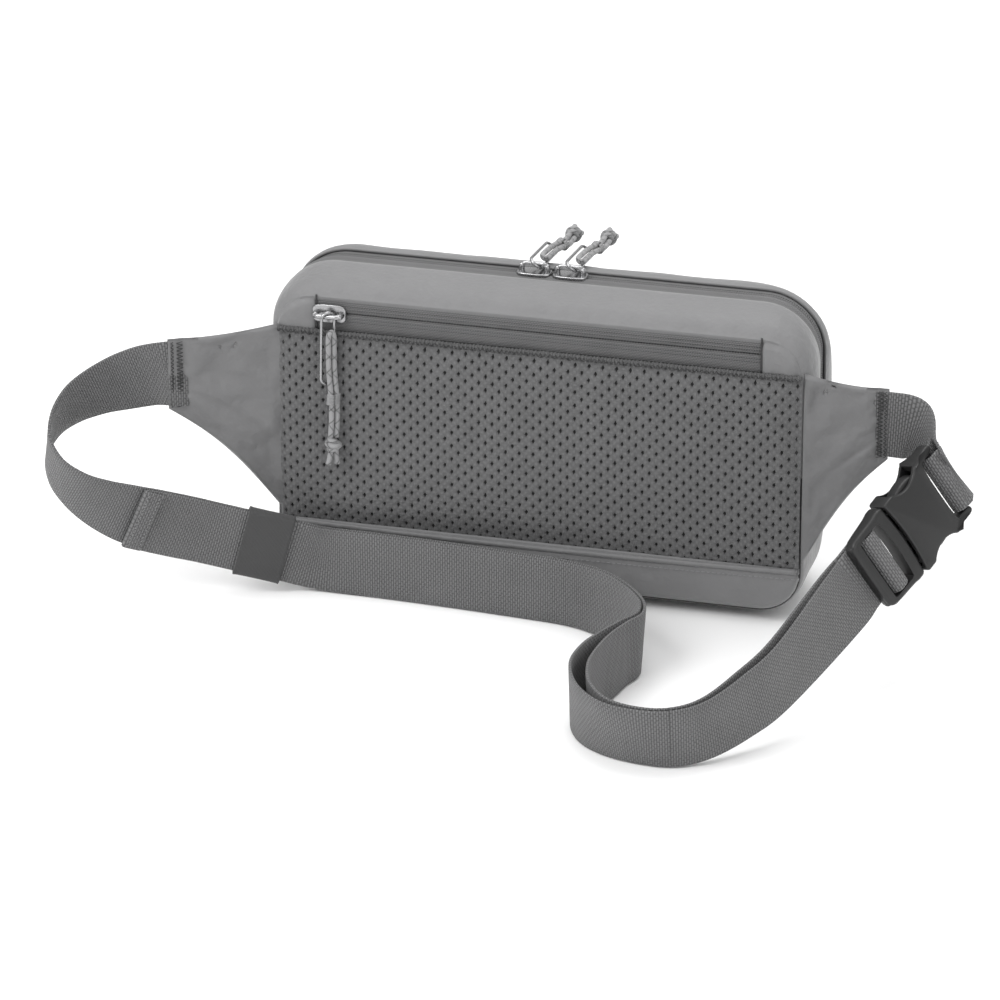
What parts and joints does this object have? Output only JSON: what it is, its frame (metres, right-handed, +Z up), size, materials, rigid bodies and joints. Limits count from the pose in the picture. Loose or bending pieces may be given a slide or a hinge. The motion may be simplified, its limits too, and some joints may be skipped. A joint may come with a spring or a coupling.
{
  "type": "waist pack",
  "caption": "Low rectangular waist pack with a mesh back pad, zipped main and pocket openings, side wings and a webbing belt with side-release buckle and elastic keeper.",
  "frame": {"origin": "middle of the base, on the ground", "axes": "+X along the back panel from the wearer's right hand to the left as worn, +Y from the wearer's side to the front pocket, +Z up"},
  "size_m": [0.4342, 0.2696, 0.1587],
  "materials": {
    "shell_fabric": "smooth plain-weave nylon, mid grey",
    "spacer_mesh": "spacer mesh with small diamond holes, darker grey",
    "foam": "soft open-cell foam board",
    "lining": "thin smooth lining cloth",
    "zip_tape": "ribbed woven tape",
    "zip_coil": "nylon coil",
    "metal": "dark nickel, satin",
    "cord": "braided cord with dark flecks",
    "elastic": "fine knitted elastic",
    "webbing": "ribbed webbing",
    "buckle_plastic": "fine-textured moulded acetal"
  },
  "bodies": {
    "pack": {"back_panel": "shell_fabric", "back_mesh_pad": "spacer_mesh", "pad_foam": "foam", "pad_piping": "shell_fabric", "back_pocket_liner": "lining", "back_zip_tape_upper": "zip_tape", "back_zip_tape_lower": "zip_tape", "back_zip_coil_upper": "zip_coil", "back_zip_coil_lower": "zip_coil", "top_gusset_back": "shell_fabric", "top_gusset_front": "shell_fabric", "main_zip_tape_back": "zip_tape", "main_zip_tape_front": "zip_tape", "main_zip_coil_back": "zip_coil", "main_zip_coil_front": "zip_coil", "bottom_gusset": "shell_fabric", "front_panel": "shell_fabric", "inner_pocket": "lining", "front_pocket": "shell_fabric", "front_zip_tape_upper": "zip_tape", "front_zip_tape_lower": "zip_tape", "front_zip_coil_upper": "zip_coil", "front_zip_coil_lower": "zip_coil", "wing_left": "shell_fabric", "wing_right": "shell_fabric", "strap_loop": "webbing", "strap_front": "webbing", "strap_bend": "webbing", "strap_run": "webbing", "tail_front": "webbing", "tail_bend": "webbing", "tail_run": "webbing", "tail_hem": "webbing", "short_strap": "webbing", "buckle_socket": "buckle_plastic"},
    "plug": {"buckle_plug": "buckle_plastic", "strap_ladder_loop": "webbing"},
    "arm_upper": {"latch_arm_upper": "buckle_plastic"},
    "arm_lower": {"latch_arm_lower": "buckle_plastic"},
    "keeper": {"strap_keeper": "elastic"},
    "slider_left": {"main_slider_left": "metal"},
    "slider_right": {"main_slider_right": "metal"},
    "slider_back": {"back_slider": "metal"},
    "slider_front": {"front_slider": "metal"},
    "pull_left": {"main_ring_left": "metal", "main_cord_left": "cord", "main_knot_left": "cord"},
    "pull_right": {"main_ring_right": "metal", "main_cord_right": "cord", "main_knot_right": "cord"},
    "pull_back": {"back_ring": "metal", "back_cord": "cord", "back_knot": "cord"},
    "pull_front": {"front_ring": "metal", "front_cord": "cord", "front_knot": "cord"}
  },
  "joints": [
    {"name": "main_zip_left", "type": "slide", "parent": "pack", "child": "slider_left", "axis": [-1, 0, 0], "range_m": [0, 0.084]},
    {"name": "main_zip_right", "type": "slide", "parent": "pack", "child": "slider_right", "axis": [1, 0, 0], "range_m": [0, 0.084]},
    {"name": "back_zip", "type": "slide", "parent": "pack", "child": "slider_back", "axis": [1, 0, 0], "range_m": [0, 0.19]},
    {"name": "front_zip", "type": "slide", "parent": "pack", "child": "slider_front", "axis": [1, 0, 0], "range_m": [0, 0.165]},
    {"name": "pull_left_swing", "type": "hinge", "parent": "slider_left", "child": "pull_left", "pos_m": [-0.0084, 0, 0.1555], "axis": [1, 0, 0], "range_deg": [0, 170]},
    {"name": "pull_right_swing", "type": "hinge", "parent": "slider_right", "child": "pull_right", "pos_m": [0.0086, 0, 0.1555], "axis": [1, 0, 0], "range_deg": [0, 130]},
    {"name": "pull_back_swing", "type": "hinge", "parent": "slider_back", "child": "pull_back", "pos_m": [-0.0984, -0.0355, 0.1335], "axis": [-1, 0, 0], "range_deg": [0, 160]},
    {"name": "pull_front_swing", "type": "hinge", "parent": "slider_front", "child": "pull_front", "pos_m": [-0.0824, 0.0445, 0.092], "axis": [1, 0, 0], "range_deg": [0, 160]},
    {"name": "keeper_slide", "type": "slide", "parent": "pack", "child": "keeper", "axis": [0.9268, 0.2781, -0.2523], "range_m": [-0.01, 0.01]},
    {"name": "buckle_release", "type": "slide", "parent": "pack", "child": "plug", "axis": [-0.3747, -0.811, -0.4493], "range_m": [0, 0.026], "deforming": ["strap_run", "tail_run"]},
    {"name": "latch_upper", "type": "hinge", "parent": "plug", "child": "arm_upper", "pos_m": [0.17262, -0.07767, 0.08312], "axis": [-0.792, 0.532, -0.2997], "range_deg": [0, 12.5]},
    {"name": "latch_lower", "type": "hinge", "parent": "plug", "child": "arm_lower", "pos_m": [0.18699, -0.07041, 0.05804], "axis": [0.792, -0.532, 0.2997], "range_deg": [0, 12.5]}
  ],
  "couplings": [
    {"joint": "latch_upper", "follows": "buckle_release", "rad_per_m": 8},
    {"joint": "latch_lower", "follows": "buckle_release", "rad_per_m": 8}
  ]
}
